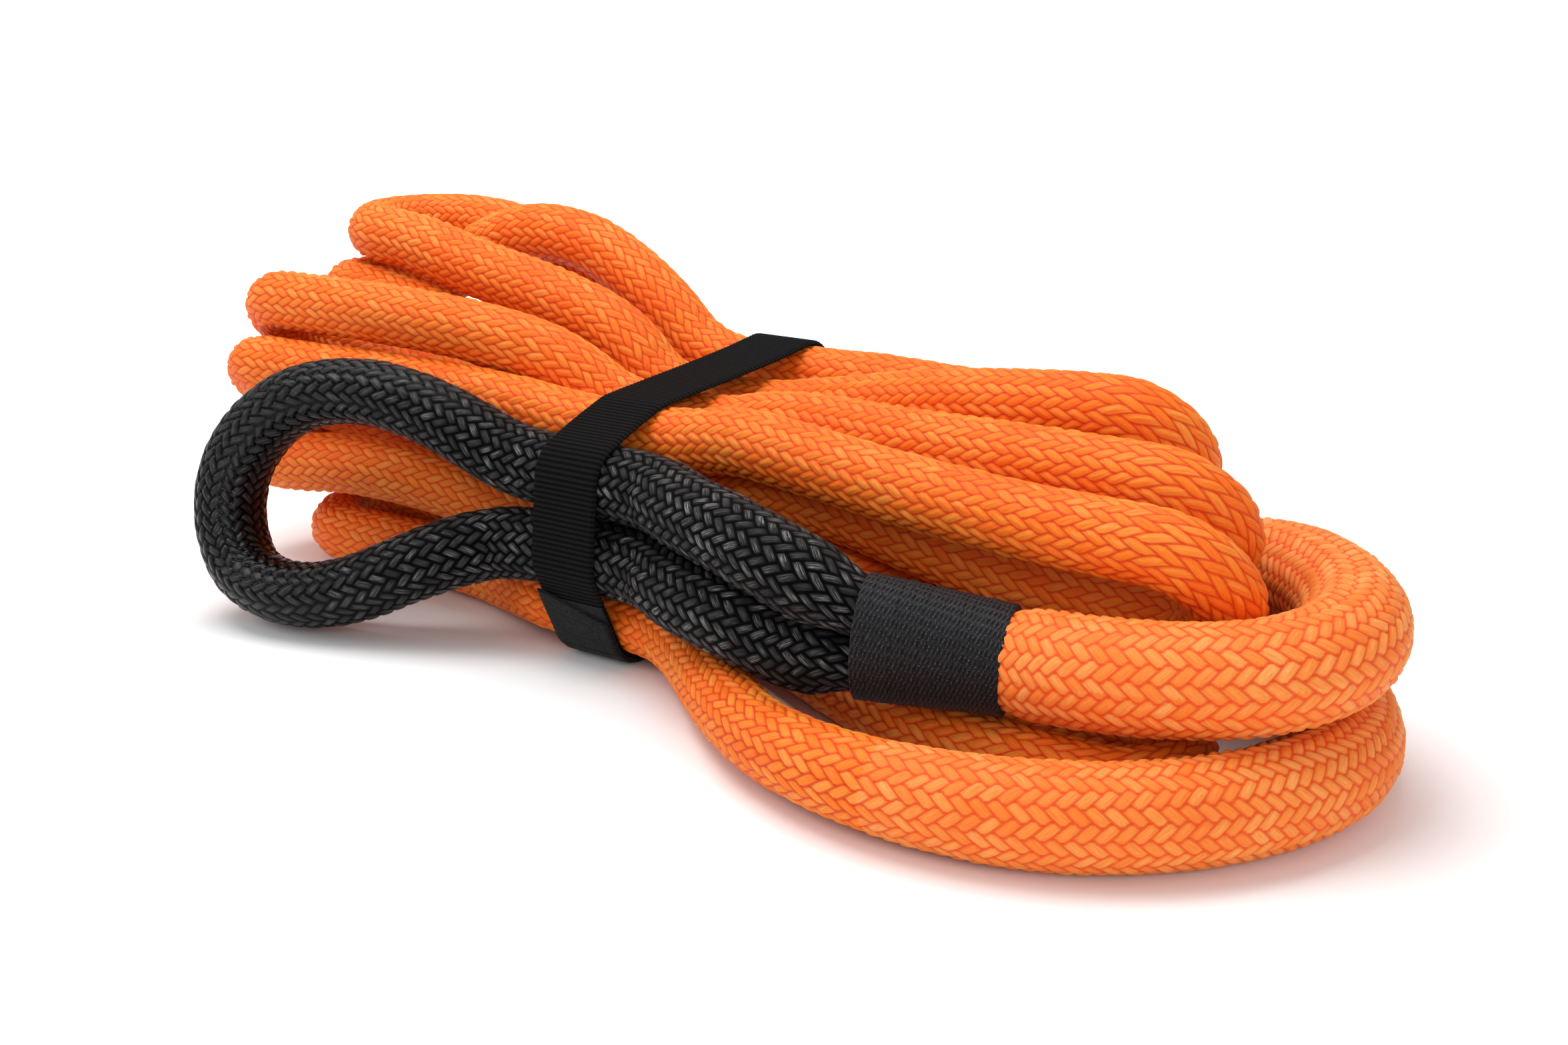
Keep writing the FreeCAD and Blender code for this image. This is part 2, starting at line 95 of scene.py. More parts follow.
# Points from a bend towards the strap, where the rope goes round its neighbours on the way.
VIA = {
    ("left_1", "in"): [(-0.075, 0.111, 0.0346), (-0.056, 0.1078, 0.0348)],
    ("left_1", "out"): [(-0.075, 0.0984, 0.0618), (-0.056, 0.097, 0.058)],
    ("left_2", "in"): [(-0.157, 0.084, 0.117), (-0.128, 0.0825, 0.11), (-0.092, 0.082, 0.104),
                       (-0.056, 0.0825, 0.094)],
    ("left_2", "out"): [(-0.157, 0.134, 0.117), (-0.126, 0.137, 0.108), (-0.088, 0.136, 0.093),
                        (-0.056, 0.127, 0.073)],
    ("left_3", "in"): [(-0.173, 0.11, 0.096), (-0.159, 0.1105, 0.105), (-0.144, 0.111, 0.1145),
                       (-0.122, 0.112, 0.121), (-0.092, 0.112, 0.1185), (-0.06, 0.11, 0.101)],
    ("left_3", "out"): [(-0.173, 0.0782, 0.0958), (-0.14, 0.0774, 0.0904), (-0.1, 0.079, 0.0786),
                        (-0.062, 0.075, 0.0656)],
    ("left_4", "in"): [(-0.175, 0.042, 0.0977), (-0.14, 0.0418, 0.098), (-0.092, 0.046, 0.0956),
                       (-0.06, 0.0545, 0.088)],
    ("left_4", "out"): [(-0.175, 0.068, 0.076), (-0.14, 0.0645, 0.072), (-0.1, 0.0576, 0.066),
                        (-0.062, 0.0524, 0.0584)],
    ("left_5", "in"): [(-0.174, 0.03, 0.0751), (-0.14, 0.031, 0.0752), (-0.098, 0.036, 0.0746),
                       (-0.06, 0.0355, 0.0736)],
    ("left_5", "out"): [(-0.174, 0.0582, 0.05595), (-0.14, 0.0572, 0.0504), (-0.098, 0.0604, 0.042),
                        (-0.06, 0.0616, 0.0366)],
    ("left_6", "in"): [(-0.168, 0.029, 0.0406), (-0.14, 0.0305, 0.044), (-0.098, 0.0335, 0.042),
                       (-0.06, 0.035, 0.036)],
    ("left_6", "out"): [(-0.168, 0.0624, 0.0334), (-0.14, 0.063, 0.0268), (-0.098, 0.0645, 0.0196),
                        (-0.06, 0.0542, 0.0144)],
    ("left_7", "in"): [(-0.144, 0.088, 0.0112), (-0.112, 0.09, 0.0113), (-0.078, 0.087, 0.0118),
                       (-0.054, 0.077, 0.0132)],
    ("left_7", "out"): [(-0.144, 0.042, 0.0112), (-0.116, 0.043, 0.0112), (-0.086, 0.039, 0.0116),
                        (-0.056, 0.029, 0.0132)],
    ("right_1", "in"): [(0.134, 0.084, 0.0668), (0.104, 0.0862, 0.0648), (0.066, 0.091, 0.0606),
                        (0.034, 0.0934, 0.0555)],
    ("right_1", "out"): [(0.134, 0.063, 0.0942), (0.104, 0.065, 0.0915), (0.066, 0.0738, 0.0846),
                         (0.034, 0.0814, 0.077)],
    ("right_2", "in"): [(0.062, 0.1184, 0.0549), (0.042, 0.1175, 0.0564), (0.024, 0.1166, 0.0592)],
    ("right_2", "out"): [(0.062, 0.1035, 0.0812), (0.042, 0.1046, 0.0816), (0.024, 0.1056, 0.081)],
    ("right_3", "in"): [(0.156, 0.063, 0.0546), (0.12, 0.064, 0.0554), (0.078, 0.068, 0.056),
                        (0.044, 0.0706, 0.0576), (0.024, 0.0708, 0.0558)],
    ("right_3", "out"): [(0.156, 0.0405, 0.082), (0.12, 0.042, 0.0816), (0.078, 0.0495, 0.079),
                         (0.044, 0.056, 0.078), (0.024, 0.0584, 0.0756)],
    ("right_4", "in"): [(0.168, 0.04, 0.0421), (0.136, 0.04, 0.044), (0.096, 0.0424, 0.051),
                        (0.06, 0.045, 0.057), (0.038, 0.046, 0.057), (0.022, 0.0464, 0.0544)],
    ("right_4", "out"): [(0.168, 0.018, 0.071), (0.136, 0.0186, 0.0714), (0.096, 0.022, 0.073),
                         (0.06, 0.028, 0.075), (0.038, 0.032, 0.076), (0.022, 0.0346, 0.0746)],
    ("right_5", "in"): [(0.048, 0.077, 0.034), (0.036, 0.0696, 0.0343), (0.022, 0.0604, 0.034)],
    ("right_5", "out"): [(0.048, 0.0476, 0.034), (0.036, 0.042, 0.0344), (0.022, 0.036, 0.034)],
    ("right_6", "in"): [(0.164, -0.006, 0.0112), (0.13, -0.002, 0.0112), (0.09, 0.012, 0.0113),
                        (0.052, 0.032, 0.0113), (0.024, 0.045, 0.0124)],
    ("right_6", "out"): [(0.164, 0.03, 0.0115), (0.13, 0.032, 0.0113), (0.09, 0.042, 0.0113),
                         (0.052, 0.057, 0.0113), (0.024, 0.0694, 0.0124)],
}
# The rope leaves the front whipping, swings round the right end and comes back to slot b4; at the other
# end it leaves slot a1, swings round on the floor and comes back to the rear whipping.
FRONT_END = [(0.1477, -0.0043, 0.0396), (0.183, -0.0054, 0.0422), (0.2125, 0.0085, 0.0438),
             (0.225, 0.033, 0.0456), (0.221, 0.057, 0.0474), (0.207, 0.076, 0.0485),
             (0.189, 0.091, 0.047), (0.164, 0.099, 0.0435), (0.134, 0.1015, 0.0405),
             (0.088, 0.1025, 0.0358), (0.044, 0.1032, 0.0338), (STRAP_RIGHT, 0.103, 0.0332)]
REAR_END = [(STRAP_RIGHT, 0.0205, 0.0146), (0.026, 0.012, 0.0128), (0.044, -0.0015, 0.0113),
            (0.064, -0.0185, 0.012), (0.088, -0.0355, 0.0134), (0.118, -0.046, 0.0145),
            (0.15, -0.046, 0.0145), (0.181, -0.0365, 0.0145), (0.206, -0.0165, 0.0145),
            (0.223, 0.012, 0.0145), (0.227, 0.041, 0.0145), (0.217, 0.07, 0.0145),
            (0.198, 0.097, 0.0147), (0.174, 0.1145, 0.0154), (0.15, 0.1196, 0.0166)]

# Each eye, out of its whipping by the upper leg, round the loop and back by the lower leg.
FRONT_LEG_TOP = [(0.084, -0.0158, 0.0563), (0.0595, -0.0084, 0.0597), (0.03, 0.0032, 0.0608),
                 (0.014, 0.0132, 0.0615), (-0.04, 0.0134, 0.0615)]
FRONT_LOOP = [(-0.057, 0.0128, 0.0665), (-0.08, 0.012, 0.0745), (-0.106, 0.007, 0.08),
              (-0.13, -0.003, 0.0765), (-0.147, -0.012, 0.061), (-0.152, -0.019, 0.039),
              (-0.142, -0.023, 0.017), (-0.12, -0.024, 0.0123), (-0.097, -0.018, 0.015),
              (-0.076, -0.009, 0.0255), (-0.057, 0.0015, 0.034)]
FRONT_LEG_LOW = [(-0.04, 0.0108, 0.037), (0.014, 0.0108, 0.037), (0.031, -0.0006, 0.0356),
                 (0.061, -0.0106, 0.0354), (0.084, -0.0126, 0.0317)]
REAR_LEG_TOP = [(0.084, 0.132, 0.0336), (0.056, 0.1326, 0.0366), (0.014, 0.1288, 0.0398),
                (-0.04, 0.1288, 0.0398)]
REAR_LOOP = [(-0.062, 0.134, 0.038), (-0.092, 0.146, 0.0335), (-0.12, 0.153, 0.028),
             (-0.1486, 0.1535, 0.0215), (-0.1577, 0.147, 0.018), (-0.161, 0.1362, 0.015),
             (-0.1577, 0.1255, 0.013), (-0.1486, 0.119, 0.0123), (-0.116, 0.1185, 0.0123),
             (-0.088, 0.1205, 0.0126), (-0.062, 0.121, 0.014)]
REAR_LEG_LOW = [(-0.04, 0.119, 0.0158), (0.014, 0.119, 0.0158), (0.056, 0.1176, 0.0144),
                (0.084, 0.117, 0.0136)]

# Each whipping's axis, from the eye's end to the rope's end.
FRONT_WHIPPING = [(0.1088, -0.016, 0.042), (0.1477, -0.0043, 0.0396)]
REAR_WHIPPING = [(0.101, 0.1228, 0.0214), (0.15, 0.1196, 0.0166)]
# Half height and half width of the throat under its whipping, at the eye's end and at the rope's end.
THROAT_OVALS = [(0.0166, 0.0134), (0.01375, 0.01375)]


def bend(x, side, start, finish):
    """Four corner points of the half turn from (x, start) to (x, finish), out along side."""
    a, b = Vector((x, *start)), Vector((x, *finish))
    middle = (a + b) / 2
    radius = (b - a).length / 2
    across = (b - a).normalized()
    reach = radius / math.cos(math.pi / 8)
    corners = [math.pi / 8 + k * math.pi / 4 for k in range(4)]
    out = Vector((side, 0, 0))
    return [middle + out * (reach * math.sin(t)) - across * (reach * math.cos(t)) for t in corners]


def turn_points(name, side, slot_in, slot_out, x, start, finish):
    """Control points of one turn, from the strap out to its bend and back to the strap."""
    strap_x = STRAP_RIGHT if side > 0 else STRAP_LEFT
    inward = [Vector(p) for p in VIA[(name, "in")]][::-1]
    outward = [Vector(p) for p in VIA[(name, "out")]]
    return ([Vector((strap_x, *SLOTS[slot_in]))] + inward + bend(x, side, start, finish) + outward
            + [Vector((strap_x, *SLOTS[slot_out]))])


def inside(whipping, share):
    """A point on a whipping's axis, some share of the way in from its rope end."""
    left, right = Vector(whipping[0]), Vector(whipping[1])
    return right.lerp(left, share)


def rope_points():
    """Control points of the whole rope, from whipping to whipping."""
    points = [inside(FRONT_WHIPPING, ROPE_IN_WHIPPING)] + [Vector(p) for p in FRONT_END]
    for turn in TURNS:
        points += turn_points(*turn)
    return points + [Vector(p) for p in REAR_END] + [inside(REAR_WHIPPING, ROPE_IN_WHIPPING)]


# ---------------------------------------------------------------- curves and frames along them
def nurbs(name, points, resolution=10):
    """A NURBS curve object through control points given in the strap's frame."""
    curve = bpy.data.curves.new(name, "CURVE")
    curve.dimensions = "3D"
    curve.resolution_u = resolution
    spline = curve.splines.new("NURBS")
    spline.points.add(len(points) - 1)
    for knot, point in zip(spline.points, points):
        knot.co = (*(Vector(point) - CENTRE), 1)
    spline.order_u = 3
    spline.use_endpoint_u = True
    piece = bpy.data.objects.new(name, curve)
    bpy.context.scene.collection.objects.link(piece)
    return piece


def line_of(piece):
    """The points of a curve object that has no bevel yet."""
    bpy.context.view_layer.update()
    mesh = bpy.data.meshes.new_from_object(piece.evaluated_get(bpy.context.evaluated_depsgraph_get()))
    points = np.array([v.co for v in mesh.vertices])
    bpy.data.meshes.remove(mesh)
    return points


def read_line(name, points):
    """The smooth line along control points, read from a curve that is then taken away."""
    guide = nurbs(name, points)
    line = line_of(guide)
    curve = guide.data
    bpy.data.objects.remove(guide)
    bpy.data.curves.remove(curve)
    return line


def arc_length(line):
    """Distance along a line at each of its points."""
    return np.concatenate([[0.0], np.cumsum(np.linalg.norm(np.diff(line, axis=0), axis=1))])


def unit(vectors):
    return vectors / np.linalg.norm(vectors, axis=-1, keepdims=True)


def along(line, places):
    """Centre points and two cross directions that don't twist, at places along a line."""
    length = arc_length(line)
    fine = np.linspace(0, length[-1], max(int(length[-1] / 0.001), 8))
    spots = np.stack([np.interp(fine, length, line[:, k]) for k in range(3)], axis=1)
    for _ in range(2):
        spots[1:-1] = (spots[:-2] + 2 * spots[1:-1] + spots[2:]) / 4
    heading = unit(np.gradient(spots, axis=0))
    side = np.empty_like(heading)
    first = np.cross(heading[0], [0.0, 0.0, 1.0])
    side[0] = first / np.linalg.norm(first)
    for k in range(1, len(spots)):
        carried = side[k - 1] - heading[k] * np.dot(side[k - 1], heading[k])
        side[k] = carried / np.linalg.norm(carried)
    pick = lambda values: np.stack([np.interp(places, fine, values[:, k]) for k in range(3)], axis=1)
    centre, forward = pick(spots), unit(pick(heading))
    right = pick(side)
    right = unit(right - forward * np.sum(right * forward, axis=1, keepdims=True))
    return centre, forward, right, np.cross(forward, right)


# ---------------------------------------------------------------- braids
class Braid:
    """A tubular braid of two sets of strands, each over two and under two, along a line.

    The mesh follows the strands: its vertices lie on a lattice with `steps` steps to each strand's
    width, so every crossing has a clean edge. Ring q of the lattice is q half steps along the braid."""

    def __init__(self, line, radius, lay, steps, seed, stretch=None):
        self.steps = steps
        length = arc_length(line)
        fine = np.linspace(0, length[-1], 4000)
        phase = np.concatenate([[0.0], np.cumsum(np.diff(fine) / lay((fine[1:] + fine[:-1]) / 2))])
        rings = int(phase[-1] * 2 * steps)
        self.places = np.interp(np.arange(rings + 1) / (2 * steps), phase, fine)
        self.places[-1] = length[-1]
        around = STRANDS * steps
        q = np.arange(rings + 1)[:, None]
        p = 2 * np.arange(around)[None, :] + q % 2
        a, b = (p + q) / (2 * steps), (p - q) / (2 * steps)
        # some strands stand a little higher than others
        random = np.random.default_rng(seed)
        count = 4096
        lift_a = random.uniform(0.8, 1.15, count)
        lift_b = random.uniform(0.8, 1.15, count)
        height = np.maximum(self.float_height(a, b, 0) * lift_a[(np.floor(a).astype(int) * 7) % count],
                            self.float_height(b, a, 2) * lift_b[(np.floor(b).astype(int) * 5) % count])
        angle = math.pi * p / around
        centre, forward, right, up = along(line, self.places)
        self.centre = centre
        size = radius(self.places)[:, None] - RELIEF + RELIEF * height
        x = np.cos(angle) * size
        y = np.sin(angle) * size
        offset = x[..., None] * right[:, None, :] + y[..., None] * up[:, None, :]
        if stretch is not None:
            axis, factor, other = stretch(self.places)
            part = np.sum(offset * axis[:, None, :], axis=2, keepdims=True) * axis[:, None, :]
            offset = part * factor[:, None, None] + (offset - part) * other[:, None, None]
        self.points = centre[:, None, :] + offset
        self.crown = height

    @staticmethod
    def float_height(across, length, shift):
        """Height of the strands of one set above the valleys, 0 where the other set is on top."""
        where = (np.floor(across) + length - shift) % 4
        over = where < 2
        crown = np.sqrt(np.clip(1 - (2 * (across % 1) - 1) ** 2, 0, 1)) ** 0.5
        arch = np.clip(np.sin(math.pi * np.clip(where / 2, 0, 1)), 0, 1) ** 0.4
        return np.where(over, crown * arch, 0.0)

    def piece(self, name, start=None, finish=None):
        """A mesh object of the rings between two places along the line."""
        low = 0 if start is None else int(np.searchsorted(self.places, start)) // 2 * 2
        high = len(self.places) - 1
        if finish is not None:
            high = min(high, int(np.searchsorted(self.places, finish)) // 2 * 2 + 1)
        around = STRANDS * self.steps
        q = np.arange(low, high - 1)[:, None]
        k = np.arange(around)[None, :]
        odd = q % 2
        ring = lambda row, column: (row - low) * around + column % around
        corners = (ring(q, k), ring(q + 1, k + odd), ring(q + 2, k), ring(q + 1, k + odd - 1))
        points = self.points[low:high + 1].reshape(-1, 3)
        # the lattice place of each corner, to tell which strand is on top there and how far along it is
        p = 2 * k + odd
        corner_p = np.stack([p, p + 1, p, p - 1], axis=2)
        corner_q = np.stack([q, q + 1, q + 2, q + 1], axis=2) + 0 * corner_p
        a, b = (corner_p + corner_q) / (2 * self.steps), (corner_p - corner_q) / (2 * self.steps)
        cell_a = np.floor((p + q + 1) / (2 * self.steps)).astype(int)
        cell_b = np.floor((p - q - 1) / (2 * self.steps)).astype(int)
        first_set = ((cell_a + cell_b) % 4 < 2)[..., None]
        cell_a, cell_b = cell_a[..., None], cell_b[..., None]
        across = np.where(first_set, a - cell_a, b - cell_b)
        run = np.where(first_set, (cell_a + b) % 4, (cell_b + a + 2) % 4)
        run = np.where(run > 3.0, run - 4, run)
        # a number for each strand, and a repeatable random tone for each stretch of it that shows
        which = np.where(first_set, cell_a * 3, cell_b * 5 + 1) % 997
        part = np.where(first_set, (cell_a + cell_b) // 4, (cell_a + cell_b + 2) // 4) + which
        hash_value = (np.sin(part * 12.9898 + which * 78.233) * 43758.5453) % 1.0
        mesh = bpy.data.meshes.new(name)
        faces = np.stack(corners, axis=2).reshape(-1, 4)
        mesh.vertices.add(len(points))
        mesh.vertices.foreach_set("co", points.astype(np.float32).ravel())
        mesh.loops.add(faces.size)
        mesh.loops.foreach_set("vertex_index", faces.astype(np.int32).ravel())
        mesh.polygons.add(len(faces))
        mesh.polygons.foreach_set("loop_start", np.arange(0, faces.size, 4, dtype=np.int32))
        mesh.update(calc_edges=True)
        mesh.polygons.foreach_set("use_smooth", np.ones(len(faces), bool))
        layer = mesh.uv_layers.new(name="strand")
        coordinates = np.stack([across + 0 * run + (which % 89), run], axis=3)
        layer.data.foreach_set("uv", coordinates.astype(np.float32).ravel())
        tone = mesh.attributes.new("tone", "FLOAT", "FACE")
        tone.data.foreach_set("value", hash_value.reshape(-1).astype(np.float32))
        piece = bpy.data.objects.new(name, mesh)
        bpy.context.scene.collection.objects.link(piece)
        point_values(piece, "crown", self.crown[low:high + 1])
        return piece


def point_values(piece, name, values):
    """A named value at each vertex, for the material to read."""
    attribute = piece.data.attributes.new(name, "FLOAT", "POINT")
    attribute.data.foreach_set("value", np.asarray(values, np.float32).ravel())


# ---------------------------------------------------------------- materials
class Nodes:
    """Short names for making a material's node tree."""

    def __init__(self, name):
        self.material = bpy.data.materials.new(name)
        self.material.use_nodes = True
        self.tree = self.material.node_tree
        self.shader = self.tree.nodes["Principled BSDF"]

    def add(self, kind, inputs=None, **settings):
        node = self.tree.nodes.new(kind)
        for key, value in settings.items():
            setattr(node, key, value)
        for key, value in (inputs or {}).items():
            self.put(value, node.inputs[key])
        return node

    def put(self, value, socket):
        if isinstance(value, bpy.types.NodeSocket):
            self.tree.links.new(value, socket)
        else:
            socket.default_value = value

    def maths(self, operation, one, two=0.0, clamp=False):
        node = self.add("ShaderNodeMath", {0: one, 1: two}, operation=operation, use_clamp=clamp)
        return node.outputs[0]

    def blend(self, amount, one, two):
        node = self.add("ShaderNodeMix", data_type="RGBA")
        self.put(amount, node.inputs["Factor"])
        self.put(one, node.inputs[6])
        self.put(two, node.inputs[7])
        return node.outputs[2]

    def range(self, value, low, high, to_low=0.0, to_high=1.0):
        node = self.add("ShaderNodeMapRange", {"Value": value, "From Min": low, "From Max": high,
                                                "To Min": to_low, "To Max": to_high})
        return node.outputs[0]

    def attribute(self, name):
        return self.add("ShaderNodeAttribute", attribute_name=name).outputs["Fac"]

    def strand_uv(self, across, length, name="strand"):
        uv = self.add("ShaderNodeUVMap", uv_map=name).outputs[0]
        return self.add("ShaderNodeMapping", {"Vector": uv, "Scale": (across, length, 1)}).outputs[0]

    def noise(self, vector, scale=1.0, detail=2.0, roughness=0.5):
        return self.add("ShaderNodeTexNoise", {"Vector": vector, "Scale": scale, "Detail": detail,
                                                "Roughness": roughness}).outputs["Fac"]

    def place(self):
        return self.add("ShaderNodeTexCoord").outputs["Object"]

    def bump(self, height, distance, strength=1.0, normal=None):
        node = self.add("ShaderNodeBump", {"Height": height, "Distance": distance, "Strength": strength})
        if normal is not None:
            self.put(normal, node.inputs["Normal"])
        return node.outputs[0]

    def finish(self, **values):
        for key, value in values.items():
            self.put(value, self.shader.inputs[key.replace("_", " ")])
        return self.material


def orange_braid(name, valley, dark, middle, light):
    """Glossy filaments that streak each strand, patches of tone, and valleys between strands painted
    darker as shade.
    """
    n = Nodes(name)
    filaments = n.noise(n.strand_uv(20, 0.7), detail=3, roughness=0.65)
    plies = n.noise(n.strand_uv(5, 0.5))
    tone = n.attribute("tone")
    patches = n.noise(n.place(), scale=22)
    mixed = n.maths("ADD", n.maths("MULTIPLY", filaments, 0.62), n.maths("MULTIPLY", tone, 0.13))
    mixed = n.maths("ADD", mixed, n.maths("MULTIPLY", patches, 0.25))
    colour = n.blend(n.range(mixed, 0.36, 0.52), dark, middle)
    colour = n.blend(n.range(mixed, 0.5, 0.68), colour, light)
    # painted shade: the colour falls to the valley colour where the strands' crown height drops, between
    # strands
    colour = n.blend(n.range(n.attribute("crown"), 0.0, 0.45), valley, colour)
    lines = n.maths("ADD", n.maths("MULTIPLY", filaments, 0.6), n.maths("MULTIPLY", plies, 0.4))
    return n.finish(Base_Color=colour, Roughness=n.range(filaments, 0.3, 0.7, 0.6, 0.38),
                    Normal=n.bump(lines, 0.0006, 0.8), Sheen_Weight=0.05, Sheen_Roughness=0.4,
                    Sheen_Tint=(1.0, 0.5, 0.15, 1), Specular_IOR_Level=0.22)


def coated_braid():
    """Black braid, glossy where its coating is whole and streaked with grey fibre where it is worn; the
    grey is kept to the strands' crowns as partly painted highlight, and the valleys between strands are
    painted darker as shade.
    """
    n = Nodes("coated_black_braid")
    filaments = n.noise(n.strand_uv(17, 0.6), detail=3, roughness=0.7)
    tone = n.attribute("tone")
    wear = n.attribute("wear")
    crown = n.attribute("crown")
    film = n.noise(n.place(), scale=420, detail=3)
    clumps = n.noise(n.place(), scale=160, detail=2)
    worn_fibre_and_highlight = n.maths("MULTIPLY", n.range(filaments, 0.5, 0.62), n.range(tone, 0.2, 0.8, 0.3, 1.0))
    worn_fibre_and_highlight = n.maths("MULTIPLY", worn_fibre_and_highlight, n.range(clumps, 0.38, 0.56, 0.3, 1.0))
    # the grey fibre is kept to the strands' crowns: real wear in part, and in part painted highlight where
    # light catches the crowns
    worn_fibre_and_highlight = n.maths("MULTIPLY", worn_fibre_and_highlight, n.range(crown, 0.45, 1.0))
    # painted shade: the black is darkest where the strands' crown height is low, between strands, and
    # lighter on their crowns
    base_with_painted_shade = n.blend(n.range(crown, 0.3, 0.95), (0.0005, 0.0005, 0.0006, 1), (0.006, 0.0058, 0.0064, 1))
    grey = n.blend(n.maths("MULTIPLY", worn_fibre_and_highlight, n.range(wear, 0.1, 1.0, 0.12, 1.0)), base_with_painted_shade,
                   (0.42, 0.4, 0.39, 1))
    rough = n.maths("ADD", n.range(wear, 0.0, 1.0, 0.22, 0.45), n.range(film, 0.3, 0.7, -0.06, 0.14))
    height = n.maths("ADD", n.maths("MULTIPLY", filaments, n.range(wear, 0.0, 1.0, 0.35, 0.8)),
                     n.maths("MULTIPLY", film, n.range(wear, 0.0, 1.0, 0.45, 0.1)))
    return n.finish(Base_Color=grey, Roughness=rough, Normal=n.bump(height, 0.0006, 0.9),
                    Coat_Weight=n.range(wear, 0.0, 0.8, 0.3, 0.0), Coat_Roughness=0.1,
                    Sheen_Weight=n.range(wear, 0.2, 1.0, 0.0, 0.02),
                    Specular_IOR_Level=n.range(crown, 0.2, 0.9, 0.02, 0.2))


def twine():
    """Black twine with its twist and a few light fibres."""
    n = Nodes("black_twine")
    fibres = n.noise(n.strand_uv(3.0, 200), detail=3, roughness=0.7)
    wave = n.add("ShaderNodeTexWave", {"Vector": n.strand_uv(0.6, 20.0), "Scale": 1.0, "Distortion": 1.0,
                                       "Detail": 2.0}, wave_type="BANDS", bands_direction="DIAGONAL")
    twist = wave.outputs["Fac"]
    speck = n.maths("MULTIPLY", n.range(fibres, 0.48, 0.7), n.range(twist, 0.3, 0.9))
    colour = n.blend(speck, (0.002, 0.002, 0.003, 1), (0.11, 0.11, 0.125, 1))
    height = n.maths("ADD", n.maths("MULTIPLY", fibres, 0.6), n.maths("MULTIPLY", twist, 0.6))
    return n.finish(Base_Color=colour, Roughness=0.55, Normal=n.bump(height, 0.0004, 0.8),
                    Sheen_Weight=0.03, Specular_IOR_Level=0.22)


def webbing():
    """Black webbing with ribs across it, to match the ones in its mesh, with the rib crests painted
    lighter as highlight and the hollows between them painted darker as shade.
    """
    n = Nodes("black_webbing")
    weave = n.add("ShaderNodeTexWave", {"Vector": n.strand_uv(60.0, 1.0), "Scale": 1.0, "Distortion": 1.0},
                  wave_type="BANDS", bands_direction="X").outputs["Fac"]
    fibres = n.noise(n.strand_uv(260, 330), detail=2)
    run = n.add("ShaderNodeSeparateXYZ", {0: n.strand_uv(1, STRAP_WIDTH / RIB * math.pi)}).outputs[1]
    ribs = n.maths("ABSOLUTE", n.maths("SINE", run))
    # painted highlight and shade: rib crests lighter and the hollows between ribs darker, mottled by the
    # fibre texture
    rib_highlight_and_fibre = n.maths("MULTIPLY", n.range(ribs, 0.35, 0.95), n.range(fibres, 0.3, 0.7, 0.35, 1.0))
    colour = n.blend(rib_highlight_and_fibre, (0.0005, 0.0005, 0.0006, 1), (0.016, 0.015, 0.015, 1))
    height = n.maths("ADD", n.maths("MULTIPLY", weave, 0.5), n.maths("MULTIPLY", fibres, 0.5))
    return n.finish(Base_Color=colour, Roughness=0.58, Normal=n.bump(height, 0.0003, 0.7),
                    Specular_IOR_Level=0.06)


def pile():
    """Black fuzzy loop pile."""
    n = Nodes("black_pile")
    fuzz = n.noise(n.place(), scale=1500, detail=3, roughness=0.75)
    tufts = n.noise(n.place(), scale=420, detail=2)
    colour = n.blend(n.range(fuzz, 0.35, 0.7), (0.002, 0.002, 0.002, 1), (0.018, 0.018, 0.019, 1))
    height = n.maths("ADD", n.maths("MULTIPLY", fuzz, 0.7), n.maths("MULTIPLY", tufts, 0.5))
    return n.finish(Base_Color=colour, Roughness=0.9, Normal=n.bump(height, 0.0006, 1.0),
                    Sheen_Weight=0.06, Specular_IOR_Level=0.1)


def core_yarn():
    """Undyed nylon, hidden inside the cover."""
    n = Nodes("undyed_core")
    fuzz = n.noise(n.place(), scale=600, detail=3)
    colour = n.blend(fuzz, (0.62, 0.6, 0.55, 1), (0.85, 0.84, 0.8, 1))
    return n.finish(Base_Color=colour, Roughness=0.7, Normal=n.bump(fuzz, 0.0004, 0.6))


def give(piece, material):
    """Sets a piece's one material."""
    piece.data.materials.clear()
    piece.data.materials.append(material)


# ---------------------------------------------------------------- the rope
def smooth(share):
    """An even ramp from 0 to 1 with soft ends."""
    share = np.clip(share, 0, 1)
    return share * share * (3 - 2 * share)


def splice_shares(place, total):
    """1 in each splice and 0 in the plain rope, with a long taper about the end of the splice."""
    (front, front_taper), (rear, rear_taper) = SPLICES
    return (smooth((front + front_taper / 2 - place) / front_taper),
            smooth((place - (total - rear - rear_taper / 2)) / rear_taper))


